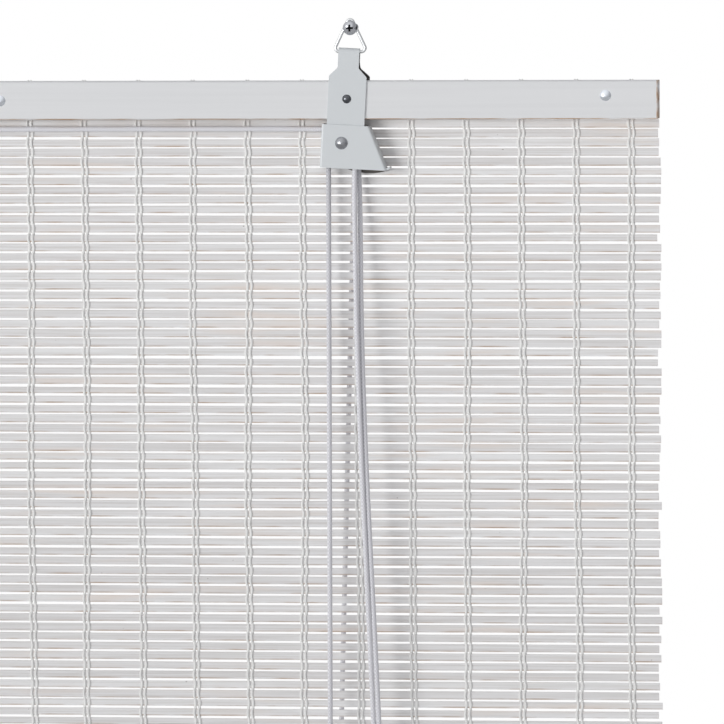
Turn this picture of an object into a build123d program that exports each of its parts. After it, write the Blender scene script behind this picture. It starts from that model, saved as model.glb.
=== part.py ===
from build123d import *
from math import atan2, cos, degrees, hypot, radians, sin, tan
import os

# Bamboo roll up blind, hung on two wall screws. Millimetres.
# X runs to the right as seen from the room, Y into the wall, Z up.
# The origin lies midway between the two wall screws' axes, on the wall's face.

# Mat
mat_width = 800.0
mat_plane_y = -14.0
slat_pitch = 5.78
slat_height = 4.4
slat_thickness = 1.3
slat_edge_chamfer = 0.35
first_gap_z = -61.0
slats_behind_rail = 4
thread_columns = 24
thread_column_width = 3.4
thread_thickness = 0.35

# Head rail: two battens that clamp the mat's upper edge
rail_height = 23.2
rail_bottom_z = -55.2
front_batten_depth = 9.5
back_batten_depth = 5.0
batten_edge_radius = 1.2
rail_rivet_inset = 31.3
rail_rivet_rise = 2.7
rivet_shank_radius = 1.5
rivet_head_radius = 3.4
rivet_head_height = 1.5
rivet_tail_radius = 2.6
rivet_tail_height = 0.7

# Rolled foot: two battens with the mat wound once round them
foot_axis_z = -590.0
foot_front_batten_depth = 6.0
foot_back_batten_depth = 5.0
foot_batten_height = 23.2
foot_pin_radius = 1.2
roll_play = 0.1
roll_corner_radius = 2.6

# Wall screws and wire rings
screw_spacing = 428.2
screw_shank_radius = 2.0
screw_thread_radius = 2.2
screw_thread_start = 1.0
screw_head_radius = 4.35
screw_head_height = 3.2
screw_embedment = 20.0
screw_tip_length = 5.0
recess_width = 1.3
recess_span = 4.4
recess_depth = 1.6
ring_wire_radius = 0.95
ring_half_angle = 25.3
ring_apex_bend = 0.9
ring_corner_bend = 1.4
ring_bar_z = -14.4
ring_to_head_gap = 0.3

# Folded steel hangers
sheet = 1.0
fold_play = 0.62
tab_half_width = 6.4
strap_half_width = 11.4
tab_length = 9.6
shoulder_drop = 5.0
shoulder_radius = 2.0
strap_side_play = 0.6
lock_lean = 3.0
rear_leg_end = 58.0
joggle_start = 6.0
joggle_end = 15.0
joggle_radius = 1.6
anchor_hole_radius = 1.8
anchor_offset = 4.5
anchor_above_end = 5.0
bend_radius = 1.3

# Cord lock and end pulley housings, measured from the fold's centre
lock_top = 44.0
lock_half_width_top = 14.4
lock_slant_width = 26.4
lock_depth_down = 70.3
lock_lip_radius = 2.2
lock_sag = 2.4
end_housing_half_width = 13.0
end_housing_bottom = 68.0
back_plate_gap = 0.4
cord_notch_height = 6.4
cord_notch_depth = 4.4
rivet_dome_radius = 3.85
rivet_dome_height = 2.1
pulley_tail_radius = 2.4
pulley_tail_height = 0.25
lock_exit_z = -84.0
front_exit_lean = -3.0
rear_exit_lean = 4.0
exit_tail = 12.0

# Pulleys and cords
cord_radius = 1.5
pulley_z = -69.4
lock_pulley_offset = 4.7
cord_pulley_radius = 8.4
groove_pitch = 3.7
groove_play = 0.12
pulley_bore_play = 0.06
pulley_side_play = 0.2
pulley_rim_radius = 8.2
cord_play = 0.3
knot_radius = 2.9

# Small hanger screws and nuts
hanger_screw_drop = 28.2
hanger_screw_radius = 1.6
hanger_head_radius = 2.7
hanger_head_height = 1.6
nut_across = 5.5
nut_height = 2.4
fit_gap = 0.05

# Pull cord knob
knob_radius = 7.0
knob_height = 30.0
knob_top_z = -688.0
knob_neck_radius = 4.2
knob_waist_radius = 5.5
knob_belly_drop = 21.6
knob_belly_arc = 9.1
knob_foot_radius = 5.0

# Depths worked out from the mat outwards
thread_front_y = mat_plane_y - slat_thickness / 2 - thread_thickness
thread_back_y = mat_plane_y + slat_thickness / 2 + thread_thickness
rail_front_y = thread_front_y - front_batten_depth
rail_back_y = thread_back_y + back_batten_depth
rail_middle_z = rail_bottom_z + rail_height / 2
strap_front_y = rail_front_y - sheet
housing_front_y = strap_front_y - sheet
rear_leg_y = rail_back_y + sheet
fold_inner_radius = ring_wire_radius + fold_play
ring_y = rail_front_y + fold_inner_radius
lean_lift = tab_half_width * tan(radians(lock_lean))
fold_z = ring_bar_z - fold_play + lean_lift + fit_gap
back_plate_back_y = thread_front_y - back_plate_gap
back_plate_front_y = back_plate_back_y - sheet
pulley_front_y = rail_front_y + pulley_side_play
pulley_back_y = back_plate_front_y - pulley_side_play
pulley_middle_y = (pulley_front_y + pulley_back_y) / 2
front_groove_y = pulley_middle_y - groove_pitch / 2
rear_groove_y = pulley_middle_y + groove_pitch / 2
hang_x = screw_spacing / 2
hanger_x = hang_x - strap_side_play
lock_pulley_x = hanger_x - lock_pulley_offset
mat_half_thickness = slat_thickness / 2 + thread_thickness
first_slat_z = first_gap_z + slat_pitch / 2


def front_plane(x, z, y, lean=0.0):
    """Plane seen from the room: local X to the right, local Y up, leaned about the line of sight."""
    tilt = radians(lean)
    return Plane(origin=(x, y, z), x_dir=(cos(tilt), 0, -sin(tilt)), z_dir=(0, -1, 0))


def side_plane(x, z, lean=0.0):
    """Plane across the blind: local X into the wall, local Y up, from the wall's face."""
    tilt = radians(lean)
    return Plane(origin=(x, 0, z), x_dir=(0, 1, 0), z_dir=(cos(tilt), 0, -sin(tilt)))


def save(part, name):
    part.label = name
    export_step(part, f"parts/{name}.step")


os.makedirs("parts", exist_ok=True)


# Battens of the head rail and of the foot, with holes for what passes through them
def batten(name, back_y, depth, height, bottom_z, holes):
    with BuildPart() as made:
        with BuildSketch(front_plane(0, bottom_z + height / 2, back_y)):
            Rectangle(mat_width, height)
        extrude(amount=depth)
        long_edges = made.edges().filter_by(Axis.X)
        fillet(long_edges, min(batten_edge_radius, depth / 3))
        for x, z, radius in holes:
            with BuildSketch(front_plane(x, z, back_y)):
                Circle(radius + fit_gap)
            extrude(amount=depth, mode=Mode.SUBTRACT)
    save(made.part, name)


rail_rivet_x = mat_width / 2 - rail_rivet_inset
rail_rivets = [
    (-rail_rivet_x, rail_middle_z + rail_rivet_rise, rivet_shank_radius),
    (0.0, rail_middle_z, rivet_shank_radius),
    (rail_rivet_x, rail_middle_z + rail_rivet_rise, rivet_shank_radius),
]
hanger_screws = [
    (
        hanger_x - hanger_screw_drop * sin(radians(lock_lean)),
        fold_z - hanger_screw_drop * cos(radians(lock_lean)),
        hanger_screw_radius,
    ),
    (-hang_x, fold_z - hanger_screw_drop, hanger_screw_radius),
]
rail_holes = rail_rivets + hanger_screws
batten("head_batten_front", thread_front_y, front_batten_depth, rail_height, rail_bottom_z, rail_holes)
batten("head_batten_back", rail_back_y, back_batten_depth, rail_height, rail_bottom_z, rail_holes)


# Rivet turned about the line of sight: domed head in the room, flat tail at the back
def rivet(x, z, front_y, back_y, dome_radius, dome_height, tail_radius, tail_height):
    ball = (dome_radius**2 + dome_height**2) / (2 * dome_height)
    length = back_y - front_y
    with BuildPart() as made:
        with BuildSketch(Plane(origin=(x, front_y, z), x_dir=(1, 0, 0), z_dir=(0, 0, 1))):
            with BuildLine():
                Polyline(
                    (0, -dome_height),
                    (0, length + tail_height),
                    (tail_radius, length + tail_height),
                    (tail_radius, length),
                    (rivet_shank_radius, length),
                    (rivet_shank_radius, 0),
                    (dome_radius, 0),
                )
                RadiusArc((dome_radius, 0), (0, -dome_height), ball)
            make_face()
        revolve(axis=Axis((x, front_y, z), (0, 1, 0)))
    return made.part


rail_rivet_parts = [
    rivet(x, z, rail_front_y, rail_back_y, rivet_head_radius, rivet_head_height,
          rivet_tail_radius, rivet_tail_height)
    for x, z, radius in rail_rivets
]
with BuildPart() as head_rivets:
    add(rail_rivet_parts)
save(head_rivets.part, "head_rivets")

# Flat bamboo slats, four of them clamped in the rail, drilled where rivets and screws pass
foot_half_height = foot_batten_height / 2
mat_end_z = foot_axis_z + foot_half_height
top_slat_z = first_slat_z + slats_behind_rail * slat_pitch
slat_count = int((top_slat_z - slat_height / 2 - mat_end_z) / slat_pitch) + 1
with BuildPart() as slats:
    with BuildSketch(side_plane(-mat_width / 2, 0)):
        slat_places = [(mat_plane_y, top_slat_z - i * slat_pitch) for i in range(slat_count)]
        with Locations(*slat_places):
            RectangleRounded(slat_thickness, slat_height, slat_edge_chamfer)
    extrude(amount=mat_width)
    for x, z, radius in rail_holes:
        with BuildSketch(front_plane(x, z, thread_back_y)):
            Circle(radius + fit_gap)
        extrude(amount=2 * mat_half_thickness, mode=Mode.SUBTRACT)
save(slats.part, "slats")

# Warp threads: in each column one hairpin over the top slat, down both sides of the slats
# to the first slat of the rolled foot
thread_end_z = mat_end_z - slat_pitch / 2
thread_top_z = top_slat_z + slat_height / 2 + thread_thickness
thread_length = thread_top_z - thread_end_z
thread_pitch = mat_width / thread_columns
with BuildPart() as warp_threads:
    for i in range(thread_columns):
        column_x = (i - (thread_columns - 1) / 2) * thread_pitch
        with BuildSketch(side_plane(column_x - thread_column_width / 2, 0)):
            with Locations((mat_plane_y, thread_end_z)):
                Rectangle(2 * mat_half_thickness, thread_length, align=(Align.CENTER, Align.MIN))
                Rectangle(slat_thickness, thread_length - thread_thickness,
                          align=(Align.CENTER, Align.MIN), mode=Mode.SUBTRACT)
        extrude(amount=thread_column_width)
    for x, z, radius in rail_holes:
        with BuildSketch(front_plane(x, z, thread_back_y)):
            Circle(radius + fit_gap)
        extrude(amount=2 * mat_half_thickness, mode=Mode.SUBTRACT)
save(warp_threads.part, "warp_threads")

# Rolled foot: the mat runs down behind the battens, under, up in front, and ends between them
layer_offset = mat_half_thickness + roll_play
foot_back_y = mat_plane_y - layer_offset
foot_slot_y = foot_back_y - foot_back_batten_depth - layer_offset
foot_front_back_y = foot_slot_y - layer_offset
foot_front_y = foot_front_back_y - foot_front_batten_depth
turn_front_y = foot_front_y - layer_offset
turn_reach = foot_half_height + layer_offset
roll_front_y = turn_front_y - mat_half_thickness
roll_bottom_z = foot_axis_z - turn_reach - mat_half_thickness
foot_pin_places = [(x, 0) for x in (-rail_rivet_x, 0, rail_rivet_x)]
with BuildPart() as roll_turns:
    with BuildSketch(side_plane(-mat_width / 2, 0)):
        with BuildLine() as roll_path:
            FilletPolyline(
                (mat_plane_y, mat_end_z),
                (mat_plane_y, foot_axis_z - turn_reach),
                (turn_front_y, foot_axis_z - turn_reach),
                (turn_front_y, foot_axis_z + turn_reach),
                (foot_slot_y, foot_axis_z + turn_reach),
                (foot_slot_y, foot_axis_z - foot_half_height + slat_pitch / 2),
                radius=roll_corner_radius,
            )
        trace(line_width=2 * thread_thickness)
        mat_path = roll_path.wires()[0]
        rolled_slats = int(mat_path.length / slat_pitch)
        for i in range(rolled_slats):
            along = (i + 0.5) * slat_pitch / mat_path.length
            spot = mat_path.position_at(along)
            heading = mat_path.tangent_at(along)
            with Locations(Location((spot.X, spot.Y, 0), (0, 0, degrees(atan2(heading.Y, heading.X))))):
                Rectangle(slat_height, slat_thickness)
    extrude(amount=mat_width)
    with BuildSketch(front_plane(0, foot_axis_z, foot_back_y)):
        with Locations(*foot_pin_places):
            Circle(foot_pin_radius + fit_gap)
    extrude(amount=foot_back_y - foot_front_y, mode=Mode.SUBTRACT)
save(roll_turns.part, "roll_turns")

foot_holes = [(x, foot_axis_z, foot_pin_radius) for x, rise in foot_pin_places]
foot_bottom_z = foot_axis_z - foot_half_height
batten("foot_batten_front", foot_front_back_y, foot_front_batten_depth, foot_batten_height,
       foot_bottom_z, foot_holes)
batten("foot_batten_back", foot_back_y, foot_back_batten_depth, foot_batten_height,
       foot_bottom_z, foot_holes)
with BuildPart() as foot_pins:
    with BuildSketch(front_plane(0, foot_axis_z, foot_back_y)):
        with Locations(*foot_pin_places):
            Circle(foot_pin_radius)
    extrude(amount=foot_back_y - foot_front_y)
save(foot_pins.part, "foot_pins")


# Wall screw: plain shank in the room, thread from just before the wall, pan head with a cross recess
def wall_screw(x):
    head_y = ring_y - ring_wire_radius - ring_to_head_gap
    head_ball = (screw_head_radius**2 + screw_head_height**2) / (2 * screw_head_height)
    with BuildPart() as made:
        with BuildSketch(Plane(origin=(x, 0, 0), x_dir=(1, 0, 0), z_dir=(0, 0, 1))):
            with BuildLine():
                RadiusArc((0, head_y - screw_head_height), (screw_head_radius, head_y), -head_ball)
                Polyline(
                    (screw_head_radius, head_y),
                    (screw_shank_radius, head_y),
                    (screw_shank_radius, -screw_thread_start),
                    (screw_thread_radius, -screw_thread_start),
                    (screw_thread_radius, screw_embedment - screw_tip_length),
                    (0, screw_embedment),
                    (0, head_y - screw_head_height),
                )
            make_face()
        revolve(axis=Axis((x, 0, 0), (0, 1, 0)))
        with BuildSketch(front_plane(x, 0, head_y - screw_head_height)):
            Rectangle(recess_width, recess_span)
            Rectangle(recess_span, recess_width)
        extrude(amount=-recess_depth, taper=8, mode=Mode.SUBTRACT)
    return made.part


save(wall_screw(hang_x), "wall_screw_right")
save(wall_screw(-hang_x), "wall_screw_left")


# Triangular ring of round wire: its narrow apex straddles the screw's shank
def wire_ring(x):
    half = radians(ring_half_angle)
    reach = (screw_thread_radius + ring_wire_radius + fit_gap) / sin(half)
    base = (reach - ring_bar_z) * tan(half)
    apex_radius = ring_apex_bend + ring_wire_radius
    corner_radius = ring_corner_bend + ring_wire_radius
    with BuildPart() as made:
        with BuildLine(front_plane(x, 0, ring_y)) as bend:
            FilletPolyline(
                (base, ring_bar_z),
                (0, reach),
                (-base, ring_bar_z),
                radius=[corner_radius, apex_radius, corner_radius],
                close=True,
            )
        wire = bend.wires()[0]
        with BuildSketch(Plane(origin=wire @ 0, z_dir=wire % 0)):
            Circle(ring_wire_radius)
        sweep(path=wire)
    return made.part


save(wire_ring(hang_x), "ring_right")
save(wire_ring(-hang_x), "ring_left")


# Folded hanger: front leg down the rail, fold over the ring's bar, rear leg stepped behind the rail
def hanger_strap(x, lean, leg_end):
    mid_radius = fold_inner_radius + sheet / 2
    front_y = ring_y - mid_radius
    behind_y = ring_y + mid_radius
    rear_y = rail_back_y + sheet / 2
    with BuildPart() as made:
        with BuildSketch(side_plane(x, fold_z, lean)):
            with BuildLine():
                Line((front_y, -leg_end), (front_y, 0))
                CenterArc((ring_y, 0), mid_radius, 180, -180)
                FilletPolyline(
                    (behind_y, 0),
                    (behind_y, -joggle_start),
                    (rear_y, -joggle_end),
                    (rear_y, -rear_leg_end),
                    radius=joggle_radius,
                )
            trace(line_width=sheet)
        extrude(amount=strap_half_width, both=True)
        with BuildSketch(front_plane(x, fold_z, 0, lean)) as outline:
            Rectangle(2 * tab_half_width, tab_length, align=(Align.CENTER, Align.MAX))
            Rectangle(2 * tab_half_width, mid_radius + sheet, align=(Align.CENTER, Align.MIN))
            with BuildLine():
                Polyline(
                    (tab_half_width, -tab_length),
                    (strap_half_width, -tab_length - shoulder_drop),
                    (strap_half_width, -leg_end),
                    (-strap_half_width, -leg_end),
                    (-strap_half_width, -tab_length - shoulder_drop),
                    (-tab_half_width, -tab_length),
                    close=True,
                )
            make_face()
            shoulders = outline.vertices().filter_by_position(
                Axis.Y, -tab_length - shoulder_drop - 1, -tab_length + 1
            )
            fillet(shoulders, shoulder_radius)
        extrude(amount=-2 * strap_front_y, mode=Mode.INTERSECT)
        with BuildSketch(front_plane(x, fold_z, 0, lean)):
            with Locations((0, -hanger_screw_drop)):
                Circle(hanger_screw_radius + fit_gap)
        extrude(amount=-2 * strap_front_y, mode=Mode.SUBTRACT)
        with BuildSketch(front_plane(x, fold_z, rear_leg_y, lean)):
            with Locations((anchor_offset, -rear_leg_end + anchor_above_end)):
                Circle(anchor_hole_radius)
        extrude(amount=2 * sheet, mode=Mode.SUBTRACT)
    return made.part


# Housing of the same sheet: its front plate lies over the strap, its two sides fold back to the rear plate
def folded_housing(plane, left, right_top, right_bottom, top, bottom):
    depth = back_plate_front_y - strap_front_y
    slant = (right_bottom - right_top) / (bottom - top)
    wall = sheet * hypot(1, slant)
    with BuildPart() as made:
        with BuildSketch(plane.offset(sheet)):
            Polygon(
                (left, -top),
                (right_top, -top),
                (right_bottom, -bottom),
                (left, -bottom),
                align=None,
            )
        extrude(amount=-sheet - depth)
        front_edges = made.faces().sort_by(Axis.Y)[0].edges().sort_by(Axis.X)
        fillet([front_edges[0], front_edges[-1]], bend_radius)
        with BuildSketch(plane):
            Polygon(
                (left + sheet, -top + sheet),
                (right_top - wall - slant * sheet, -top + sheet),
                (right_bottom - wall + slant * sheet, -bottom - sheet),
                (left + sheet, -bottom - sheet),
                align=None,
            )
        extrude(amount=-depth, mode=Mode.SUBTRACT)
    return made.part


# Notch in a housing's side for the cord that crosses between the two pulleys
def cord_notch(x, lean, side_x):
    with BuildPart() as made:
        with BuildSketch(front_plane(x, fold_z, back_plate_front_y, lean)):
            with Locations((side_x, -lock_top)):
                Rectangle(4 * sheet, 2 * cord_notch_height)
        extrude(amount=cord_notch_depth)
    return made.part


# Cord lock hanger: its right side slants outwards and ends in a curled lip
lock_plane = front_plane(hanger_x, fold_z, strap_front_y, lock_lean)
with BuildPart() as lock_bracket:
    add(hanger_strap(hanger_x, lock_lean, lock_depth_down))
    add(
        folded_housing(lock_plane, -lock_half_width_top, lock_half_width_top, lock_slant_width,
                       lock_top, lock_depth_down)
    )
    with BuildSketch(lock_plane):
        with BuildLine():
            lip_x = lock_slant_width - sheet / 2
            FilletPolyline(
                (lip_x - lock_lip_radius, -lock_depth_down + 2 * lock_lip_radius),
                (lip_x, -lock_depth_down + sheet / 2),
                (lip_x + lock_lip_radius, -lock_depth_down + lock_lip_radius),
                radius=sheet,
            )
        trace(line_width=sheet)
    extrude(amount=strap_front_y - back_plate_front_y)
    add(cord_notch(hanger_x, lock_lean, -lock_half_width_top), mode=Mode.SUBTRACT)
    with BuildSketch(front_plane(lock_pulley_x, pulley_z, rail_front_y)):
        Circle(rivet_shank_radius + fit_gap)
    extrude(amount=2 * sheet, mode=Mode.SUBTRACT)
save(lock_bracket.part, "lock_bracket")

with BuildPart() as lock_back_plate:
    with BuildSketch(front_plane(hanger_x, fold_z, back_plate_back_y, lock_lean)):
        Polygon(
            (-lock_half_width_top, -lock_top),
            (lock_half_width_top, -lock_top),
            (lock_slant_width, -lock_depth_down),
            (-lock_half_width_top, -lock_depth_down),
            align=None,
        )
        with BuildLine():
            Line((0, -lock_depth_down), (lock_slant_width, -lock_depth_down))
            SagittaArc((0, -lock_depth_down), (lock_slant_width, -lock_depth_down), -lock_sag)
        make_face()
    extrude(amount=sheet)
    with BuildSketch(front_plane(lock_pulley_x, pulley_z, back_plate_back_y)):
        Circle(rivet_shank_radius + fit_gap)
    extrude(amount=sheet, mode=Mode.SUBTRACT)
save(lock_back_plate.part, "lock_back_plate")

# End pulley hanger: upright, with a square housing
with BuildPart() as pulley_bracket:
    add(hanger_strap(-hang_x, 0, end_housing_bottom))
    add(
        folded_housing(front_plane(-hang_x, fold_z, strap_front_y), -end_housing_half_width,
                       end_housing_half_width, end_housing_half_width, lock_top, end_housing_bottom)
    )
    add(cord_notch(-hang_x, 0, end_housing_half_width), mode=Mode.SUBTRACT)
    with BuildSketch(front_plane(-hang_x, pulley_z, rail_front_y)):
        Circle(rivet_shank_radius + fit_gap)
    extrude(amount=2 * sheet, mode=Mode.SUBTRACT)
save(pulley_bracket.part, "pulley_bracket")

end_housing_height = end_housing_bottom - lock_top
with BuildPart() as pulley_back_plate:
    with BuildSketch(front_plane(-hang_x, fold_z, back_plate_back_y)):
        with Locations((0, -lock_top)):
            Rectangle(2 * end_housing_half_width, end_housing_height, align=(Align.CENTER, Align.MAX))
    extrude(amount=sheet)
    with BuildSketch(front_plane(-hang_x, pulley_z, back_plate_back_y)):
        Circle(rivet_shank_radius + fit_gap)
    extrude(amount=sheet, mode=Mode.SUBTRACT)
save(pulley_back_plate.part, "pulley_back_plate")


# Double-groove pulley turning on its rivet
def pulley(x):
    width = pulley_back_y - pulley_front_y
    with BuildPart() as made:
        with BuildSketch(Plane(origin=(x, 0, pulley_z), x_dir=(1, 0, 0), z_dir=(0, 0, 1))):
            bore = rivet_shank_radius + pulley_bore_play
            with Locations((bore, pulley_middle_y)):
                Rectangle(pulley_rim_radius - bore, width, align=(Align.MIN, Align.CENTER))
            with Locations((cord_pulley_radius, front_groove_y), (cord_pulley_radius, rear_groove_y)):
                Circle(cord_radius + groove_play, mode=Mode.SUBTRACT)
        revolve(axis=Axis((x, 0, pulley_z), (0, 1, 0)))
    return made.part


save(pulley(lock_pulley_x), "lock_pulley")
save(pulley(-hang_x), "end_pulley")
for x, name in ((lock_pulley_x, "lock_rivet"), (-hang_x, "end_pulley_rivet")):
    save(
        rivet(x, pulley_z, housing_front_y, back_plate_back_y, rivet_dome_radius, rivet_dome_height,
              pulley_tail_radius, pulley_tail_height),
        name,
    )


# Screw and nut that clamp the hanger's legs and the rail
def hanger_screw(x, z):
    head_ball = (hanger_head_radius**2 + hanger_head_height**2) / (2 * hanger_head_height)
    head_front_y = strap_front_y - hanger_head_height
    end_y = rear_leg_y + nut_height + hanger_screw_radius / 2
    with BuildPart() as made:
        with BuildSketch(Plane(origin=(x, 0, z), x_dir=(1, 0, 0), z_dir=(0, 0, 1))):
            with BuildLine():
                RadiusArc((0, head_front_y), (hanger_head_radius, strap_front_y), -head_ball)
                Polyline(
                    (hanger_head_radius, strap_front_y),
                    (hanger_screw_radius, strap_front_y),
                    (hanger_screw_radius, end_y),
                    (0, end_y),
                    (0, head_front_y),
                )
            make_face()
        revolve(axis=Axis((x, 0, z), (0, 1, 0)))
        with BuildSketch(front_plane(x, z, head_front_y)):
            Rectangle(hanger_head_radius * 2, sheet / 2, rotation=40)
        extrude(amount=-hanger_head_height / 2, mode=Mode.SUBTRACT)
    return made.part


def hanger_nut(x, z):
    with BuildPart() as made:
        with BuildSketch(front_plane(x, z, rear_leg_y + nut_height)):
            RegularPolygon(nut_across / 2, 6, major_radius=False)
            Circle(hanger_screw_radius + fit_gap, mode=Mode.SUBTRACT)
        extrude(amount=nut_height)
    return made.part


for (x, z, radius), side in zip(hanger_screws, ("right", "left")):
    save(hanger_screw(x, z), f"hanger_screw_{side}")
    save(hanger_nut(x, z), f"hanger_nut_{side}")


# A cord's tube: straight runs joined by arcs. A free corner's arc is as large as its runs allow
def corner_radii(points, tight):
    radii = []
    for i in range(1, len(points) - 1):
        before = Vector(points[i]) - Vector(points[i - 1])
        after = Vector(points[i + 1]) - Vector(points[i])
        turn = radians(before.get_angle(after))
        free = 0.45 * min(before.length, after.length) / tan(turn / 2)
        radii.append(tight.get(i, free))
    return radii


def cord_tube(name, points, tight, knot=False):
    radii = corner_radii(points, tight)
    with BuildPart() as made:
        with BuildLine() as route:
            FilletPolyline(*points, radius=radii)
        line = route.wires()[0]
        with BuildSketch(Plane(origin=line @ 0, z_dir=line % 0)):
            Circle(cord_radius)
        sweep(path=line)
        if knot:
            with Locations(points[0]):
                Sphere(knot_radius)
    print(name, "length", round(line.length, 1), "radii", [round(r, 1) for r in radii])
    expected = line.length * 3.14159265 * cord_radius**2
    print("  volume", round(made.part.volume, 1), "section by length", round(expected, 1))
    save(made.part, name)


# Lift cords: knotted behind the hanger, down behind the mat, under the rolled foot, up in front
cord_top_z = pulley_z + cord_pulley_radius
rear_foot_y = mat_plane_y + mat_half_thickness + cord_play + cord_radius
front_foot_y = roll_front_y - cord_play - cord_radius
under_foot_z = roll_bottom_z - cord_play - cord_radius
rear_run_y = (thread_back_y + rail_back_y) / 2
sling_radius = roll_corner_radius + mat_half_thickness
wrap_radius = cord_pulley_radius - fit_gap
anchor_z_local = -rear_leg_end + anchor_above_end
right_anchor = front_plane(hanger_x, fold_z, 0, lock_lean).from_local_coords(
    (anchor_offset, anchor_z_local, 0)
)
knot_y = rear_leg_y + knot_radius + fit_gap


def lift_points(anchor_x, anchor_z, front_x, groove_y):
    return [
        (anchor_x, knot_y, anchor_z),
        (anchor_x, rear_run_y, anchor_z),
        (front_x, rear_foot_y, mat_end_z),
        (front_x, rear_foot_y, under_foot_z),
        (front_x, front_foot_y, under_foot_z),
        (front_x, front_foot_y, mat_end_z),
        (front_x, groove_y, lock_exit_z),
        (front_x, groove_y, cord_top_z),
    ]


# Run that leaves a pulley downwards: the corner over the pulley, the lock's mouth, a little below it
def exit_run(lean, groove_y):
    slope = tan(radians(lean))
    corner_x = lock_pulley_x + cord_pulley_radius * tan(radians(45 - lean / 2))
    mouth_x = corner_x + (cord_top_z - lock_exit_z) * slope
    return [
        (corner_x, groove_y, cord_top_z),
        (mouth_x, groove_y, lock_exit_z),
        (mouth_x + exit_tail * slope, groove_y, lock_exit_z - exit_tail),
    ]


sling_radii = {1: 2 * cord_radius, 3: sling_radius, 4: sling_radius, 7: wrap_radius, 8: wrap_radius}
right_exit = exit_run(front_exit_lean, front_groove_y)
left_exit = exit_run(rear_exit_lean, rear_groove_y)
cord_tube(
    "lift_cord_right",
    lift_points(right_anchor.X, right_anchor.Z, lock_pulley_x - cord_pulley_radius, front_groove_y)
    + right_exit[:2],
    sling_radii,
    knot=True,
)
cord_tube(
    "lift_cord_left",
    lift_points(-hang_x + anchor_offset, fold_z + anchor_z_local, -hang_x - cord_pulley_radius,
                rear_groove_y)
    + left_exit[:2],
    sling_radii,
    knot=True,
)

# Pull cords: out of the lock side by side, forward over the rolled foot, down to their knob
right_pull = right_exit[1:] + [
    (218.9, -32.4, -216.0),
    (226.2, -32.5, -420.0),
    (228.2, -32.7, -480.0),
    (229.9, -32.6, -538.0),
    (231.0, -32.8, -596.0),
    (231.6, -32.7, -648.0),
    (231.6, -32.7, knob_top_z),
]
left_pull = left_exit[1:] + [
    (222.9, -32.4, -216.0),
    (230.8, -32.5, -420.0),
    (232.8, -32.7, -480.0),
    (234.1, -32.6, -538.0),
    (234.8, -32.8, -596.0),
    (235.1, -32.7, -648.0),
    (235.1, -32.7, knob_top_z),
]
cord_tube("pull_cord_right", right_pull, {})
cord_tube("pull_cord_left", left_pull, {})

# Turned knob that gathers the two pull cords
knob_x = (right_pull[-1][0] + left_pull[-1][0]) / 2
knob_y = right_pull[-1][1]
with BuildPart() as pull_knob:
    with BuildSketch(Plane(origin=(knob_x, knob_y, knob_top_z), x_dir=(1, 0, 0), z_dir=(0, -1, 0))):
        with BuildLine():
            Line((0, 0), (knob_neck_radius, 0))
            Spline(
                (knob_neck_radius, 0),
                (knob_waist_radius, -knob_height / 3),
                (knob_radius, -knob_belly_drop),
                tangents=((0, -1), (0.1, -1)),
            )
            RadiusArc((knob_radius, -knob_belly_drop), (knob_foot_radius, -knob_height), knob_belly_arc)
            Line((knob_foot_radius, -knob_height), (0, -knob_height))
            Line((0, -knob_height), (0, 0))
        make_face()
    revolve(axis=Axis((knob_x, knob_y, knob_top_z), (0, 0, 1)))
save(pull_knob.part, "pull_knob")
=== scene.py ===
import math
import random
import bpy
from mathutils import Matrix, Vector


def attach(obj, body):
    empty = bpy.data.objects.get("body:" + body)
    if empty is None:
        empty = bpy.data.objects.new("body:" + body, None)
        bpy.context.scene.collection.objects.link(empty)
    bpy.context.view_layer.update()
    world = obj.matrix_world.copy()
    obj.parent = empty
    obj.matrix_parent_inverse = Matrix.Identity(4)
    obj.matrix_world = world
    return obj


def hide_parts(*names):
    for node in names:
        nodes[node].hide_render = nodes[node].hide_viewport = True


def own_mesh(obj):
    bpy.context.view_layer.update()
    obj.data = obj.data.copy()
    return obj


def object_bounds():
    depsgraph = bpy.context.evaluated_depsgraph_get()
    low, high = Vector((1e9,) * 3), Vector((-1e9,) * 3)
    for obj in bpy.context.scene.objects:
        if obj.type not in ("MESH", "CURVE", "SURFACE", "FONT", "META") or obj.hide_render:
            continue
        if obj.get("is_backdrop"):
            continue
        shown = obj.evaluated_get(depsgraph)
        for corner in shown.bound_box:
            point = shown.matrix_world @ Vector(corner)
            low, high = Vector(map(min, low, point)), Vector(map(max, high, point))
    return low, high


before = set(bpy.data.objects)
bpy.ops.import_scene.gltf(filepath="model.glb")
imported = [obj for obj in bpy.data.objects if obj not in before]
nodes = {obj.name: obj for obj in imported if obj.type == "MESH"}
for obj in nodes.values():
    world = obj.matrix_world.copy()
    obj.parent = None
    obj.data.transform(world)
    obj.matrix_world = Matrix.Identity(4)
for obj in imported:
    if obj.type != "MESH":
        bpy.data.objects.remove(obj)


def millimetres(*values):
    return tuple(v / 1000 for v in values)


def writeSize(key, sizes):
    low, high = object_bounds()
    sizes[key] = [list(low), list(high)]


sizes = {}
writeSize("cad", sizes)


# Materials

# An sRGB hex colour in Blender's linear values
def hexColor(text):
    parts = [int(text[i:i + 2], 16) / 255 for i in (1, 3, 5)]
    linear = [p / 12.92 if p <= 0.04045 else ((p + 0.055) / 1.055) ** 2.4 for p in parts]
    return (*linear, 1.0)


# Adds a node with its settings and a ramp's stops; an input takes a value or another node's socket
def addNode(tree, kind, inputs=None, stops=(), **settings):
    node = tree.nodes.new(kind)
    for name, value in settings.items():
        setattr(node, name, value)
    for index, (position, color) in enumerate(stops):
        node.color_ramp.elements[index].position = position
        node.color_ramp.elements[index].color = color
    for name, value in (inputs or {}).items():
        if isinstance(value, bpy.types.NodeSocket):
            tree.links.new(value, node.inputs[name])
        else:
            node.inputs[name].default_value = value
    return node


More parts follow.
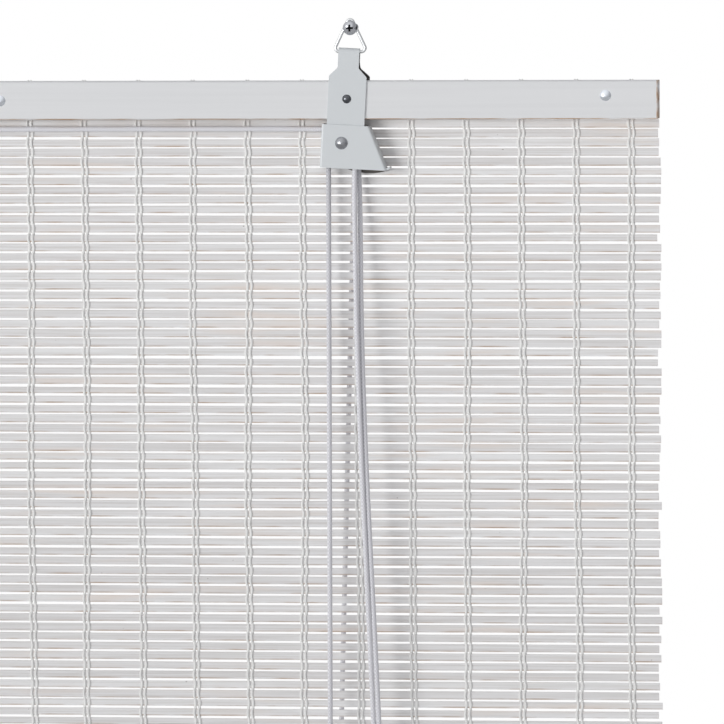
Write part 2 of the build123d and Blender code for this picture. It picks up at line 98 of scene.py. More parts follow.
def newMaterial(name, **inputs):
    material = bpy.data.materials.new(name)
    material.use_nodes = True
    tree = material.node_tree
    shader = next(n for n in tree.nodes if n.type == "BSDF_PRINCIPLED")
    for key, value in inputs.items():
        shader.inputs[key.replace("_", " ")].default_value = value
    return material, tree, shader


# How uneven a finish is, from 0 to 1, along the object's own axes; a scale of 100 is about 10 mm across
def unevenness(tree, scale, detail):
    place = addNode(tree, "ShaderNodeTexCoord").outputs["Object"]
    point = addNode(tree, "ShaderNodeMapping", {"Vector": place, "Scale": scale}).outputs["Vector"]
    noise = addNode(tree, "ShaderNodeTexNoise", {"Vector": point, "Scale": 1.0, "Detail": detail})
    return noise.outputs["Fac"]


black = (0, 0, 0, 1)
white = (1, 1, 1, 1)


# Split bamboo under thin white paint: streaks along the strip, brown painted shade in patches along the lower
# edge
def bambooPaint():
    look = {"paint": "#eeeeee", "dull": "#e4e3e3", "fibre": "#eceae8", "warm": "#e5dcd5", "edgeShade": "#b59c88",
            "speck": "#5a4a42"}
    material, tree, shader = newMaterial("painted split bamboo", Roughness=0.62)
    tone = addNode(tree, "ShaderNodeAttribute", attribute_name="slatTone").outputs["Fac"]
    edge = addNode(tree, "ShaderNodeAttribute", attribute_name="lowerEdge").outputs["Fac"]
    streak = unevenness(tree, (12, 900, 900), 3.0)  # fibre bundles about 1.1 mm wide and 80 mm long
    fibreTones = [(0.40, white), (0.72, hexColor(look["fibre"]))]
    fibre = addNode(tree, "ShaderNodeValToRGB", {"Fac": streak}, fibreTones).outputs["Color"]
    cloudy = unevenness(tree, (9, 60, 130), 4.0)  # stains about 110 mm long and 8 mm high
    stain = addNode(tree, "ShaderNodeValToRGB", {"Fac": cloudy}, [(0.56, black), (0.74, white)])
    broken = unevenness(tree, (45, 200, 260), 4.0)  # patches of painted shade about 22 mm long
    shadePatches = addNode(tree, "ShaderNodeValToRGB", {"Fac": broken}, [(0.42, black), (0.70, white)])
    # Painted shade: the lower edge of each strip turns brown in broken patches
    shadedEdge = addNode(tree, "ShaderNodeMath", {0: edge, 1: shadePatches.outputs["Color"]}, operation="MULTIPLY")
    dotted = unevenness(tree, (260, 400, 620), 2.0)  # specks under 4 mm long
    speck = addNode(tree, "ShaderNodeValToRGB", {"Fac": dotted}, [(0.775, black), (0.80, white)])
    base = hexColor(look["paint"])
    for cover, color, blend in (
        (tone, hexColor(look["dull"]), "MIX"),
        (1.0, fibre, "MULTIPLY"),
        (stain.outputs["Color"], hexColor(look["warm"]), "MIX"),
        (shadedEdge.outputs[0], hexColor(look["edgeShade"]), "MIX"),
        (speck.outputs["Color"], hexColor(look["speck"]), "MIX"),
    ):
        layers = {0: cover, 6: base, 7: color}
        base = addNode(tree, "ShaderNodeMix", layers, data_type="RGBA", blend_type=blend).outputs[2]
    tree.links.new(base, shader.inputs["Base Color"])
    bump = addNode(tree, "ShaderNodeBump", {"Height": streak, "Distance": 0.00025, "Strength": 0.7})
    tree.links.new(bump.outputs["Normal"], shader.inputs["Normal"])
    return material


# Brushed white paint on pine battens: faint grain; brown at the sawn ends and along the lower arris, bare
# wood and painted shade
def batten(name, edgeZ):
    look = {"paint": "#e2e3e4", "dull": "#dfe0e1", "woodAndShade": "#b08b66", "arris": 0.0006, "endX": 0.3994}
    material, tree, shader = newMaterial(name, Roughness=0.5)
    grain = unevenness(tree, (6, 420, 420), 4.0)  # grain about 2.4 mm apart
    brushed = addNode(tree, "ShaderNodeValToRGB", {"Fac": grain}, [(0.35, black), (0.7, white)])
    coords = addNode(tree, "ShaderNodeTexCoord")
    place = addNode(tree, "ShaderNodeSeparateXYZ", {"Vector": coords.outputs["Object"]}).outputs
    lowest = edgeZ + look["arris"]
    # Partly painted shade: the brown lower arris also stands for the dark line of shade under the rail
    under = addNode(tree, "ShaderNodeMath", {0: place["Z"], 1: lowest}, operation="LESS_THAN")
    across = addNode(tree, "ShaderNodeMath", {0: place["X"]}, operation="ABSOLUTE")
    end = addNode(tree, "ShaderNodeMath", {0: across.outputs[0], 1: look["endX"]}, operation="GREATER_THAN")
    both = addNode(tree, "ShaderNodeMath", {0: under.outputs[0], 1: end.outputs[0]}, operation="MAXIMUM")
    flaked = unevenness(tree, (40, 90, 90), 3.0)  # flakes about 25 mm long
    patch = addNode(tree, "ShaderNodeValToRGB", {"Fac": flaked}, [(0.38, black), (0.62, white)])
    flakes = patch.outputs["Color"]
    shown = addNode(tree, "ShaderNodeMath", {0: both.outputs[0], 1: flakes}, operation="MULTIPLY")
    base = hexColor(look["paint"])
    for cover, color in ((brushed.outputs["Color"], look["dull"]), (shown.outputs[0], look["woodAndShade"])):
        layers = {0: cover, 6: base, 7: hexColor(color)}
        base = addNode(tree, "ShaderNodeMix", layers, data_type="RGBA").outputs[2]
    tree.links.new(base, shader.inputs["Base Color"])
    bump = addNode(tree, "ShaderNodeBump", {"Height": grain, "Distance": 0.00012, "Strength": 0.25})
    tree.links.new(bump.outputs["Normal"], shader.inputs["Normal"])
    return material


# Satin white enamel on pressed steel: almost flat, a slight orange peel; dark painted shade inside the folds
def enamelSteel():
    look = {"enamel": "#d5d9db", "foldShade": "#4f4a45", "insideY": -0.0215, "turned": -0.35}
    material, tree, shader = newMaterial("white enamelled steel", Roughness=0.36)
    coords = addNode(tree, "ShaderNodeTexCoord")
    place = addNode(tree, "ShaderNodeSeparateXYZ", {"Vector": coords.outputs["Object"]}).outputs
    facing = addNode(tree, "ShaderNodeSeparateXYZ", {"Vector": coords.outputs["Normal"]}).outputs
    # Painted shade: faces turned forward behind the front plates, inside the folds and the lock housing, are
    # coloured dark
    deep = addNode(tree, "ShaderNodeMath", {0: place["Y"], 1: look["insideY"]}, operation="GREATER_THAN")
    front = addNode(tree, "ShaderNodeMath", {0: facing["Y"], 1: look["turned"]}, operation="LESS_THAN")
    paintedShade = addNode(tree, "ShaderNodeMath", {0: deep.outputs[0], 1: front.outputs[0]}, operation="MULTIPLY")
    layers = {0: paintedShade.outputs[0], 6: hexColor(look["enamel"]), 7: hexColor(look["foldShade"])}
    base = addNode(tree, "ShaderNodeMix", layers, data_type="RGBA").outputs[2]
    tree.links.new(base, shader.inputs["Base Color"])
    peel = unevenness(tree, (1500, 1500, 1500), 2.0)  # about 0.7 mm across
    bump = addNode(tree, "ShaderNodeBump", {"Height": peel, "Distance": 0.00004, "Strength": 0.4})
    tree.links.new(bump.outputs["Normal"], shader.inputs["Normal"])
    return material


# Plated steel of screws and rivets: each has its own polish, and the surface is slightly wavy
def plate(name, tone, roughness, ripple):
    material, tree, shader = newMaterial(name, Base_Color=hexColor(tone), Metallic=1.0, Roughness=roughness)
    waves = unevenness(tree, (600, 600, 600), 2.0)  # about 1.7 mm across
    bump = addNode(tree, "ShaderNodeBump", {"Height": waves, "Distance": ripple, "Strength": 0.7})
    tree.links.new(bump.outputs["Normal"], shader.inputs["Normal"])
    return material


# Chrome of the wall screws: a hard mirror, rippled by the die, with painted shade down in the cross recess
def screwChrome():
    look = {"chrome": "#c2c4c8", "recess": "#161618", "screwX": 0.2141, "recessY": -0.0266, "floorY": -0.0250,
            "recessRadius": 0.0024}
    material, tree, shader = newMaterial("chrome plated steel", Metallic=1.0, Roughness=0.07)
    coords = addNode(tree, "ShaderNodeTexCoord")
    place = addNode(tree, "ShaderNodeSeparateXYZ", {"Vector": coords.outputs["Object"]}).outputs
    across = addNode(tree, "ShaderNodeMath", {0: place["X"]}, operation="ABSOLUTE")
    off = addNode(tree, "ShaderNodeMath", {0: across.outputs[0], 1: look["screwX"]}, operation="SUBTRACT")
    flat = addNode(tree, "ShaderNodeCombineXYZ", {"X": off.outputs[0], "Z": place["Z"]})
    reach = addNode(tree, "ShaderNodeVectorMath", {0: flat.outputs[0]}, operation="LENGTH").outputs["Value"]
    # Painted shade: the cross recess is coloured near black, as the shade in it looks
    near = addNode(tree, "ShaderNodeMath", {0: reach, 1: look["recessRadius"]}, operation="LESS_THAN")
    deep = addNode(tree, "ShaderNodeMath", {0: place["Y"], 1: look["recessY"]}, operation="GREATER_THAN")
    head = addNode(tree, "ShaderNodeMath", {0: place["Y"], 1: look["floorY"]}, operation="LESS_THAN")
    band = addNode(tree, "ShaderNodeMath", {0: deep.outputs[0], 1: head.outputs[0]}, operation="MULTIPLY")
    paintedShade = addNode(tree, "ShaderNodeMath", {0: near.outputs[0], 1: band.outputs[0]}, operation="MULTIPLY")
    layers = {0: paintedShade.outputs[0], 6: hexColor(look["chrome"]), 7: hexColor(look["recess"])}
    tone = addNode(tree, "ShaderNodeMix", layers, data_type="RGBA").outputs[2]
    tree.links.new(tone, shader.inputs["Base Color"])
    waviness = unevenness(tree, (420, 420, 420), 1.0)  # about 2.4 mm across
    bump = addNode(tree, "ShaderNodeBump", {"Height": waviness, "Distance": 0.0006, "Strength": 0.8})
    tree.links.new(bump.outputs["Normal"], shader.inputs["Normal"])
    return material


# Zinc-plated wire: pale, softly shining
def wirePlate():
    return newMaterial("plated steel wire", Base_Color=hexColor("#d8dadb"), Metallic=0.75, Roughness=0.34)[0]


# Moulded nylon: milky white, no shine to speak of
def nylon():
    return newMaterial("moulded nylon", Base_Color=hexColor("#e4e3dd"), Roughness=0.45)[0]


# Glossy moulded plastic of the pull
def knobPlastic():
    return newMaterial("glossy white plastic", Base_Color=hexColor("#ebebe8"), Roughness=0.22)[0]


# Cotton warp thread: bright white and matt, with twisted strands
def cotton():
    material, tree, shader = newMaterial("twisted cotton thread", Roughness=0.85)
    shader.inputs["Base Color"].default_value = hexColor("#f1f1ef")
    place = addNode(tree, "ShaderNodeTexCoord").outputs["Object"]
    point = addNode(tree, "ShaderNodeMapping", {"Vector": place, "Scale": (900, 900, 1500)})
    twist = {"Vector": point.outputs["Vector"], "Scale": 0.5, "Distortion": 1.5}
    strands = addNode(tree, "ShaderNodeTexWave", twist, bands_direction="DIAGONAL")  # one about every 0.8 mm
    bump = addNode(tree, "ShaderNodeBump", {
        "Height": strands.outputs["Fac"], "Distance": 0.00012, "Strength": 0.8,
    })
    tree.links.new(bump.outputs["Normal"], shader.inputs["Normal"])
    return material


# Braided cord: cool white with a fine plait, its strands crossing about every 2.3 mm
def braid():
    material, tree, shader = newMaterial("braided polyester cord", Roughness=0.75)
    place = addNode(tree, "ShaderNodeTexCoord").outputs["Object"]
    heights = []
    for turn in (900, -900):
        point = addNode(tree, "ShaderNodeMapping", {"Vector": place, "Scale": (turn, turn, 620)})
        strands = {"Vector": point.outputs["Vector"], "Scale": 0.45, "Distortion": 0.6}
        wave = addNode(tree, "ShaderNodeTexWave", strands, bands_direction="DIAGONAL")
        heights.append(wave.outputs["Fac"])
    plait = addNode(tree, "ShaderNodeMath", {0: heights[0], 1: heights[1]}, operation="MULTIPLY").outputs[0]
    plaitTones = [(0.0, hexColor("#d6d6db")), (0.35, hexColor("#e7e7eb"))]
    shade = addNode(tree, "ShaderNodeValToRGB", {"Fac": plait}, plaitTones).outputs["Color"]
    tree.links.new(shade, shader.inputs["Base Color"])
    bump = addNode(tree, "ShaderNodeBump", {"Height": plait, "Distance": 0.00012, "Strength": 0.5})
    tree.links.new(bump.outputs["Normal"], shader.inputs["Normal"])
    return material


bamboo = bambooPaint()
headPaint = batten("white painted head batten", -0.0552)
footPaint = batten("white painted foot batten", -0.6016)
steel = enamelSteel()
chrome = screwChrome()
zinc = plate("zinc plated steel", "#dde2e8", 0.24, 0.0001)
nickel = plate("nickel plated steel", "#9c9ea2", 0.12, 0.0005)
darkScrew = plate("blackened screw steel", "#5e6064", 0.14, 0.0004)
wire = wirePlate()
milky = nylon()
knobShine = knobPlastic()
thread = cotton()
cordBraid = braid()

wears = {
    "head_batten_front": headPaint, "head_batten_back": headPaint,
    "foot_batten_front": footPaint, "foot_batten_back": footPaint, "foot_pins": footPaint,
    "head_rivets": zinc, "lock_rivet": nickel, "end_pulley_rivet": nickel,
    "wall_screw_right": chrome, "wall_screw_left": chrome,
    "hanger_screw_right": darkScrew, "hanger_screw_left": darkScrew,
    "hanger_nut_right": nickel, "hanger_nut_left": nickel,
    "ring_right": wire, "ring_left": wire,
    "lock_bracket": steel, "lock_back_plate": steel,
    "pulley_bracket": steel, "pulley_back_plate": steel,
    "lock_pulley": milky, "end_pulley": milky,
    "roll_turns": bamboo, "pull_knob": knobShine,
}
for name, material in wears.items():
    nodes[name].data.materials.clear()
    nodes[name].data.materials.append(material)
print("materials made")


# Meshes

def meshObject(name, vertices, faces, material, smooth=True):
    mesh = bpy.data.meshes.new(name)
    mesh.from_pydata(vertices, [], faces)
    mesh.polygons.foreach_set("use_smooth", [smooth] * len(faces))
    mesh.materials.append(material)
    mesh.update()
    made = bpy.data.objects.new(name, mesh)
    bpy.context.scene.collection.objects.link(made)
    return made


# Adds one closed tube along points in millimetres to lists of vertices, in metres, and faces
def addTube(vertices, faces, points, radius, sides, flatten=1.0):
    start = len(vertices)
    side = Vector((1, 0, 0))
    count = len(points)
    for i, point in enumerate(points):
        ahead = points[min(i + 1, count - 1)] - points[max(i - 1, 0)]
        heading = ahead.normalized()
        side = side - heading * side.dot(heading)
        if side.length < 0.1:
            side = Vector((0, 1, 0)) - heading * heading.y
        side.normalize()
        other = heading.cross(side)
        for k in range(sides):
            angle = 2 * math.pi * k / sides
            spot = point + side * radius * math.cos(angle) + other * radius * flatten * math.sin(angle)
            vertices.append(tuple(spot / 1000))
    for i in range(count - 1):
        for k in range(sides):
            a = start + i * sides + k
            b = start + i * sides + (k + 1) % sides
            faces.append((a, b, b + sides, a + sides))
    faces.append(tuple(start + k for k in reversed(range(sides))))
    faces.append(tuple(start + (count - 1) * sides + k for k in range(sides)))


# A path with its corners rounded; a right angle gets twice the given steps
def roundedPath(points, radii, steps=6):
    made = [points[0]]
    for i in range(1, len(points) - 1):
        radius = radii[i - 1]
        before = (points[i] - points[i - 1]).normalized()
        after = (points[i + 1] - points[i]).normalized()
        turn = before.angle(after)
        if turn < 1e-4:
            continue
        reach = radius * math.tan(turn / 2)
        first = points[i] - before * reach
        inward = (after - before * after.dot(before)).normalized()
        centre = first + inward * radius
        count = max(2, int(math.degrees(turn) / 90 * steps * 2))
        for k in range(count + 1):
            angle = turn * k / count
            made.append(centre - inward * radius * math.cos(angle) + before * radius * math.sin(angle))
    made.append(points[-1])
    return made


# Mat, in millimetres
mat = {
    "middleY": -14.0, "pitch": 5.78, "height": 4.5, "thickness": 1.3, "topZ": -34.99, "slats": 94,
    "halfWidth": 400.0, "stations": 72, "ragged": 1.3, "columns": 24, "columnPitch": 33.333,
    "railBottom": -55.2, "end": -578.4, "lift": 320.0,
}


def squashToRoll(made):
    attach(made, "head")
    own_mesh(made)


# Slow waves along a strip: how far each swings, where it starts and how fast it turns
def drawWaves(chance, low, high, rate):
    made = []
    for n in range(4):
        swing = chance.uniform(low, high) / (n + 1)
        phase = chance.uniform(0, 6.3)
        made.append((swing, phase, chance.uniform(0.6, 1.5) * (n + 1) * rate))
    return made


# A strip's outline from the front's upper edge round the back, as y, z and whether it takes the lower edge's
# painted shade
def slatOutline(top, bottom):
    edge = {"flat": 0.18, "corner": 0.35, "brow": 0.4, "bulge": 0.06, "bulgeUp": 1.1, "belly": 0.08,
            "bellyUp": 0.4}
    front = mat["middleY"] - mat["thickness"] / 2
    back = mat["middleY"] + mat["thickness"] / 2
    return [
        (front + edge["flat"], top, 0), (back - edge["flat"], top, 0),
        (back, top - edge["corner"], 0), (back, bottom + edge["corner"], 1),
        (back - edge["flat"], bottom, 1), (front + edge["flat"], bottom, 1),
        (front, bottom + edge["corner"], 1), (front - edge["bulge"], bottom + edge["bulgeUp"], 0),
        (front - edge["belly"], (top + bottom) / 2 + edge["bellyUp"], 0), (front, top - edge["brow"], 0),
    ]


# Mat: each strip has its own height, sag and ragged ends, so the gaps run from about 0.4 to 2.1 mm
def makeSlats():
    split = {"seed": 41, "uneven": 0.22, "sag": 0.42, "swell": 0.5, "waves": (0.15, 0.5, 0.006),
             "swells": (0.1, 0.4, 0.008), "behindRail": 4, "calm": 0.25}
    chance = random.Random(split["seed"])
    vertices, faces, tones, edges = [], [], [], []
    sides = len(slatOutline(0.0, 0.0))
    for index in range(mat["slats"]):
        middle = mat["topZ"] - index * mat["pitch"]
        hidden = index < split["behindRail"]
        wild = split["calm"] if hidden else 1.0
        tall = mat["height"] + wild * chance.gauss(0, split["uneven"])
        tone = chance.random()
        leftEnd = -mat["halfWidth"] - (0 if hidden else chance.uniform(-mat["ragged"], mat["ragged"]))
        rightEnd = mat["halfWidth"] + (0 if hidden else chance.uniform(-mat["ragged"], mat["ragged"]))
        waves = drawWaves(chance, *split["waves"])
        swells = drawWaves(chance, *split["swells"])
        start = len(vertices)
        for station in range(mat["stations"] + 1):
            x = leftEnd + (rightEnd - leftEnd) * station / mat["stations"]
            sag = wild * split["sag"] * sum(a * math.sin(p + k * x) for a, p, k in waves)
            swell = wild * split["swell"] * sum(a * math.sin(p + k * x) for a, p, k in swells)
            top = middle + sag + (tall + swell) / 2
            bottom = middle + sag - (tall + swell) / 2
            for y, z, low in slatOutline(top, bottom):
                vertices.append(millimetres(x, y, z))
                tones.append(tone)
                edges.append(low)
        for station in range(mat["stations"]):
            for k in range(sides):
                a = start + station * sides + k
                b = start + station * sides + (k + 1) % sides
                faces.append((a, a + sides, b + sides, b))
        faces.append(tuple(start + k for k in range(sides)))
        faces.append(tuple(start + mat["stations"] * sides + k for k in reversed(range(sides))))
    made = meshObject("bamboo_slats", vertices, faces, bamboo, smooth=False)
    for name, values in (("slatTone", tones), ("lowerEdge", edges)):
        made.data.attributes.new(name, "FLOAT", "POINT").data.foreach_set("value", values)
    squashToRoll(made)
    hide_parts("slats")


def columnX(column):
    return (column - (mat["columns"] - 1) / 2) * mat["columnPitch"]


# How far a column has wandered sideways at a height; it grows from nothing at the rail
def columnDrift(column, z):
    drift = {"slow": 0.7, "quick": 0.4, "startZ": -60, "fullAfter": 120}
    slow = drift["slow"] * math.sin(column * 1.7 + z * 0.011)
    quick = drift["quick"] * math.sin(column * 3.1 + z * 0.027)
    return (slow + quick) * min(1.0, max(0.0, (drift["startZ"] - z) / drift["fullAfter"]))


# Warp: each column has two pairs, and in a pair one thread passes over a slat where the other passes under it
def makeWarp():
    weave = {"radius": 0.78, "reach": 1.08, "pair": 1.3, "shift": 0.5, "steps": 5, "sides": 6, "flatten": 0.6,
             "press": 1.9, "groups": 4}
    perGroup = mat["columns"] // weave["groups"]
    last = (mat["slats"] - 1) * weave["steps"]
    for group in range(weave["groups"]):
        vertices, faces = [], []
        for column in range(group * perGroup, (group + 1) * perGroup):
            x0 = columnX(column)
            for pair, over in ((-1, 1), (-1, -1), (1, 1), (1, -1)):
                points = []
                for step in range(-2, last + 3):
                    swing = math.cos(math.pi * step / weave["steps"]) * over
                    z = mat["topZ"] - step * mat["pitch"] / weave["steps"]
                    pressed = math.tanh(weave["press"] * swing) / math.tanh(weave["press"])
                    y = mat["middleY"] - weave["reach"] * pressed
                    side = pair * weave["pair"] - over * weave["shift"] * abs(swing)
                    points.append(Vector((x0 + columnDrift(column, z) + side, y, z)))
                addTube(vertices, faces, points, weave["radius"], weave["sides"], weave["flatten"])
        piece = meshObject(f"warp_threads_{group + 1}", vertices, faces, thread)
        squashToRoll(piece)
    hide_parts("warp_threads")


# Where a warp column turns over the upper edge of the mat's first strip, at the top of the rail
def makeThreadLoops():
    loop = {"topZ": -31.2, "footZ": -33.0, "reach": 0.9, "radius": 0.6, "apart": 0.75, "steps": 8, "sides": 6}
    vertices, faces = [], []
    tall = loop["topZ"] - loop["footZ"] - loop["radius"]
    for column in range(mat["columns"]):
        for side in (-loop["apart"], loop["apart"]):
            points = []
            for k in range(loop["steps"] + 1):
                angle = math.pi * k / loop["steps"]
                y = mat["middleY"] - loop["reach"] * math.cos(angle)
                points.append(Vector((columnX(column) + side, y, loop["footZ"] + math.sin(angle) * tall)))
            addTube(vertices, faces, points, loop["radius"], loop["sides"])
    made = meshObject("warp_loops", vertices, faces, thread)
    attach(made, "head")


# Warp on the rolled foot: the same columns carried once round the battens
def makeRollWarp():
    turn = {"backY": -12.75, "frontY": -30.65, "innerY": -22.6, "low": -603.95, "high": -576.05, "start": 0.5,
            "corner": 3.4, "steps": 3, "apart": 1.15, "radius": 0.5, "sides": 6}
    route = [(turn["backY"], mat["end"] - turn["start"]), (turn["backY"], turn["low"]),
             (turn["frontY"], turn["low"]), (turn["frontY"], turn["high"]), (turn["innerY"], turn["high"])]
    vertices, faces = [], []
    for column in range(mat["columns"]):
        x0 = columnX(column) + columnDrift(column, mat["end"])
        for strand in (-turn["apart"], 0, turn["apart"]):
            corners = [Vector((x0 + strand, y, z)) for y, z in route]
            points = roundedPath(corners, [turn["corner"]] * 3, turn["steps"])
            addTube(vertices, faces, points, turn["radius"], turn["sides"])
    made = meshObject("roll_threads", vertices, faces, thread)
    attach(made, "roll")


makeSlats()
makeWarp()
makeThreadLoops()
makeRollWarp()
print("mat woven")


# Cords, in millimetres: each lift cord is knotted behind its hanger, runs down behind the mat, under the
# roll, up in front and over the pulleys to the lock's mouth
cord = {
    "radius": 1.5, "sides": 14, "topZ": -61.0, "mouthZ": -84.0, "wrap": 8.35, "wrapSteps": 8, "rearY": -11.2,
    "frontY": -32.2, "underZ": -605.5, "endZ": -578.4, "rearRunY": -10.5, "sling": 3.6, "bend": 3.0,
    "stub": 6,
}
tie = {"middleY": -4.05, "reach": 2.9, "drawn": 0.8, "steps": 48, "sides": 10}
lock = {"pulleyX": 208.8, "round": 8.4, "below": 12}
lifts = {
    "right": {"anchorX": 215.22, "anchorZ": -67.79, "frontX": 200.4, "grooveY": -22.3, "lean": -3.0},
    "left": {"anchorX": -209.6, "anchorZ": -67.63, "frontX": -222.5, "grooveY": -18.6, "lean": 4.0},
}


def tubeObject(name, points, body):
    vertices, faces = [], []
    addTube(vertices, faces, points, cord["radius"], cord["sides"])
    made = meshObject(name, vertices, faces, cordBraid)
    if body:
        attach(made, body)
    return made


def straight(first, second, steps):
    return [first.lerp(second, k / steps) for k in range(steps + 1)]


# An overhand knot pulled tight: the curve of a trefoil
def knotPoints(middle):
    points = []
    for k in range(tie["steps"] + 1):
        t = 2 * math.pi * k / tie["steps"]
        x = math.sin(t) + 2 * math.sin(2 * t)
        z = math.cos(t) - 2 * math.cos(2 * t)
        turn = Vector((x, -math.sin(3 * t), z))
        points.append(middle + turn * (tie["reach"] - cord["radius"] * tie["drawn"]) / 3)
    return points


def liftCord(side, lift, over):
    anchorX, anchorZ, frontX, grooveY = lift["anchorX"], lift["anchorZ"], lift["frontX"], lift["grooveY"]
    rearTop = anchorZ - cord["stub"]
    anchor = Vector((anchorX, tie["middleY"], anchorZ))
    bend = Vector((anchorX, cord["rearRunY"], anchorZ))
    rearEnd = Vector((frontX, cord["rearY"], cord["endZ"]))
    share = (anchorZ - rearTop) / (anchorZ - cord["endZ"])
    rearStart = bend.lerp(rearEnd, share)
    start = roundedPath([anchor, bend, rearStart], [cord["bend"]])
    head = tubeObject(f"lift_cord_{side}_anchor", start, "head")
    rear = tubeObject(f"lift_cord_{side}_rear", straight(rearStart, rearEnd, 2), None)
    squashToRoll(rear)
    sling = [
        rearEnd,
        Vector((frontX, cord["rearY"], cord["underZ"])),
        Vector((frontX, cord["frontY"], cord["underZ"])),
        Vector((frontX, cord["frontY"], cord["endZ"])),
    ]
    tubeObject(f"lift_cord_{side}_sling", roundedPath(sling, [cord["sling"]] * 2), "roll")
    mouth = Vector((frontX, grooveY, cord["mouthZ"]))
    front = tubeObject(f"lift_cord_{side}_front", straight(sling[-1], mouth, 2), None)
    squashToRoll(front)
    top = [mouth, Vector((frontX, grooveY, cord["topZ"])), *over]
    tubeObject(f"lift_cord_{side}_top", roundedPath(top, [cord["wrap"]] * 2, cord["wrapSteps"]), "head")
    vertices, faces = [], []
    addTube(vertices, faces, knotPoints(anchor), cord["radius"] * tie["drawn"], tie["sides"])
    knot = meshObject(f"lift_cord_{side}_knot", vertices, faces, cordBraid)
    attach(knot, "head")
    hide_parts(f"lift_cord_{side}")


# Where a cord comes over the lock's pulley and leaves by the mouth, leaning this many degrees from upright
def exitRun(lean, grooveY):
    slope = math.tan(math.radians(lean))
    cornerX = lock["pulleyX"] + lock["round"] * math.tan(math.radians(45 - lean / 2))
    mouthX = cornerX + (cord["topZ"] - cord["mouthZ"]) * slope
    return [
        Vector((cornerX, grooveY, cord["topZ"])),
        Vector((mouthX, grooveY, cord["mouthZ"])),
        Vector((mouthX + lock["below"] * slope, grooveY, cord["mouthZ"] - lock["below"])),
    ]


exits = {side: exitRun(lift["lean"], lift["grooveY"]) for side, lift in lifts.items()}
for side, lift in lifts.items():
    liftCord(side, lift, exits[side][:2])

# Pull cords: free from the lock's mouth down to their knob
pullRoutes = {
    "pull_cord_right": exits["right"][1:] + [Vector(p) for p in (
        (218.9, -35.0, -216.0), (227.4, -32.7, -420.0), (229.2, -32.7, -480.0), (230.8, -32.6, -538.0),
        (231.5, -32.8, -596.0), (231.6, -32.7, -648.0), (231.6, -32.7, -688.0))],
    "pull_cord_left": exits["left"][1:] + [Vector(p) for p in (
        (221.2, -33.0, -216.0), (230.7, -32.5, -420.0), (232.5, -32.7, -480.0), (234.1, -32.6, -538.0),
        (234.8, -32.8, -596.0), (235.1, -32.7, -648.0), (235.1, -32.7, -688.0))],
}
for name, route in pullRoutes.items():
    line = bpy.data.curves.new(name + "_line", "CURVE")
    line.dimensions = "3D"
    line.bevel_depth = cord["radius"] / 1000
    line.bevel_resolution = 4
    line.resolution_u = 16
    line.use_fill_caps = True
    spline = line.splines.new("NURBS")
    spline.points.add(len(route) - 1)
    for spot, place in zip(spline.points, route):
        spot.co = (*(place / 1000), 1.0)
    spline.order_u = 3
    spline.use_endpoint_u = True
    line.materials.append(cordBraid)
    made = bpy.data.objects.new(name + "_free", line)
    bpy.context.scene.collection.objects.link(made)
    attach(made, "head")
    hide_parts(name)
print("cords laid")


# Camera: a long lens, a little above and to the right, as the photograph was taken
def placeCamera():
    view = {"place": (823.6, -5039.9, 110.7), "yaw": -0.1197, "pitch": -0.0618, "roll": -0.0054,
            "focal": 8370.4, "pixels": 724, "sensor": 36}  # focal length in pixels, sensor in millimetres
    heading = Vector((
        math.sin(view["yaw"]) * math.cos(view["pitch"]),
        math.cos(view["yaw"]) * math.cos(view["pitch"]),
        math.sin(view["pitch"]),
    ))
    level = Vector((math.cos(view["yaw"]), -math.sin(view["yaw"]), 0))
    upright = level.cross(heading)
    right = level * math.cos(view["roll"]) + upright * math.sin(view["roll"])
    up = upright * math.cos(view["roll"]) - level * math.sin(view["roll"])
    lens = bpy.data.cameras.new("camera")
    lens.sensor_width = view["sensor"]
    lens.lens = view["focal"] / view["pixels"] * view["sensor"]
    lens.clip_start = 0.1
    lens.clip_end = 50
    camera = bpy.data.objects.new("camera", lens)
    turn = Matrix((right, up, -heading)).transposed().to_4x4()
    camera.matrix_world = Matrix.Translation(Vector(millimetres(*view["place"]))) @ turn
    bpy.context.scene.collection.objects.link(camera)
    bpy.context.scene.camera = camera


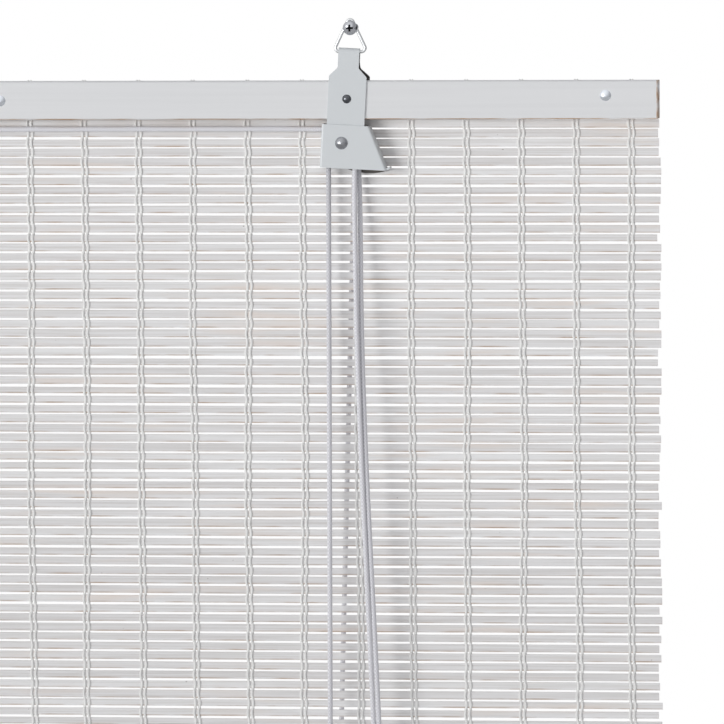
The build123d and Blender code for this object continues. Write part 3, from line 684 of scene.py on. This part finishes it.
# Light: one broad lamp at the left in front, an even bright room, and more from the white wall behind
def placeLight():
    light = {"travel": (0.96, 1.0, 0.0), "strength": 1.72, "spread": 0.5, "room": 0.46, "wall": 0.95,
             "wallFull": 0.7, "bright": (-0.5, -0.62, 0.6),
             "mirror": ((0.19, 0.05), (0.30, 0.5), (0.47, 0.45), (0.78, 0.9))}
    lamp = bpy.data.lights.new("window", "SUN")
    lamp.energy = light["strength"]
    lamp.angle = light["spread"]
    made = bpy.data.objects.new("window", lamp)
    made.rotation_mode = "QUATERNION"
    made.rotation_quaternion = Vector(light["travel"]).to_track_quat("-Z", "Y")
    bpy.context.scene.collection.objects.link(made)
    world = bpy.data.worlds.new("room")
    bpy.context.scene.world = world
    world.use_nodes = True
    tree = world.node_tree
    tree.nodes.clear()
    direction = addNode(tree, "ShaderNodeTexCoord").outputs["Generated"]
    toWindow = Vector(light["bright"]).normalized()
    share = addNode(tree, "ShaderNodeVectorMath", {0: direction, 1: tuple(toWindow)}, operation="DOT_PRODUCT")
    cosine = share.outputs["Value"]
    turned = addNode(tree, "ShaderNodeMath", {0: cosine, 1: 0.5, 2: 0.5}, operation="MULTIPLY_ADD")
    # What polished metal mirrors: dark away from the window, pale half way round, bright towards it
    mirrorRoom = addNode(tree, "ShaderNodeValToRGB", {"Fac": turned.outputs[0]})
    mirrorRoom.color_ramp.elements[0].color = (0.02, 0.02, 0.025, 1)
    mirrorRoom.color_ramp.elements[1].color = (1.2, 1.2, 1.2, 1)
    for place, level in light["mirror"]:
        mirrorRoom.color_ramp.elements.new(place).color = (level, level, level * 1.02, 1)
    split = addNode(tree, "ShaderNodeSeparateXYZ", {"Vector": direction})
    behind = addNode(tree, "ShaderNodeMapRange", {
        "Value": split.outputs["Y"], "From Min": 0.0, "From Max": light["wallFull"],
        "To Min": light["room"], "To Max": light["wall"],
    })
    ray = addNode(tree, "ShaderNodeLightPath").outputs
    seen = addNode(tree, "ShaderNodeBackground", {"Color": white, "Strength": 1.0}).outputs[0]
    lit = addNode(tree, "ShaderNodeBackground", {"Color": hexColor("#fcfcff"), "Strength": behind.outputs[0]})
    mirrored = addNode(tree, "ShaderNodeBackground", {"Color": mirrorRoom.outputs["Color"], "Strength": 1.0})
    soft = addNode(tree, "ShaderNodeMixShader", {
        0: ray["Is Glossy Ray"], 1: lit.outputs[0], 2: mirrored.outputs[0],
    })
    whole = addNode(tree, "ShaderNodeMixShader", {0: ray["Is Camera Ray"], 1: soft.outputs[0], 2: seen})
    addNode(tree, "ShaderNodeOutputWorld", {"Surface": whole.outputs[0]})


# Stage: a pale floor under the blind, and a white patch of the wall that the screws are driven into
def stagePlane(name, corners, material):
    made = meshObject(name, [millimetres(*c) for c in corners], [(0, 1, 2, 3)], material, smooth=False)
    made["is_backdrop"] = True
    return made


def placeStage():
    stage = {"floorZ": -820.0, "reach": 2500.0, "glow": 0.45, "wallY": 0.3, "wallLow": -40.0, "wallTop": 40.0,
             "wallHalf": 260.0}
    floorPaint, tree, shader = newMaterial("pale studio floor", Roughness=0.9)
    tones = [(0.3, hexColor("#f2f2f1")), (0.7, hexColor("#ededec"))]
    clouds = unevenness(tree, (3, 3, 3), 2.0)
    mottle = addNode(tree, "ShaderNodeValToRGB", {"Fac": clouds}, tones).outputs["Color"]
    tree.links.new(mottle, shader.inputs["Base Color"])
    tree.links.new(mottle, shader.inputs["Emission Color"])
    cameraRay = addNode(tree, "ShaderNodeLightPath").outputs["Is Camera Ray"]
    seen = addNode(tree, "ShaderNodeMath", {0: cameraRay, 1: stage["glow"]}, operation="MULTIPLY")
    tree.links.new(seen.outputs[0], shader.inputs["Emission Strength"])
    r, z = stage["reach"], stage["floorZ"]
    stagePlane("floor", [(-r, -r, z), (r, -r, z), (r, r, z), (-r, r, z)], floorPaint)
    wallPaint = bpy.data.materials.new("plain white wall")
    wallPaint.use_nodes = True
    tree = wallPaint.node_tree
    tree.nodes.clear()
    back = addNode(tree, "ShaderNodeNewGeometry").outputs["Backfacing"]
    shine = addNode(tree, "ShaderNodeEmission", {"Color": white, "Strength": 1.0})
    clear = addNode(tree, "ShaderNodeBsdfTransparent")
    both = addNode(tree, "ShaderNodeMixShader", {0: back, 1: shine.outputs[0], 2: clear.outputs[0]})
    addNode(tree, "ShaderNodeOutputMaterial", {"Surface": both.outputs[0]})
    h, y, low, top = stage["wallHalf"], stage["wallY"], stage["wallLow"], stage["wallTop"]
    wall = stagePlane("wall", [(-h, y, low), (h, y, low), (h, y, top), (-h, y, top)], wallPaint)
    for ray in ("diffuse", "glossy", "transmission", "volume_scatter", "shadow"):
        setattr(wall, "visible_" + ray, False)


placeCamera()
placeLight()
placeStage()
bpy.context.scene.view_settings.view_transform = "Standard"
print("camera and light placed")

writeSize("visual", sizes)
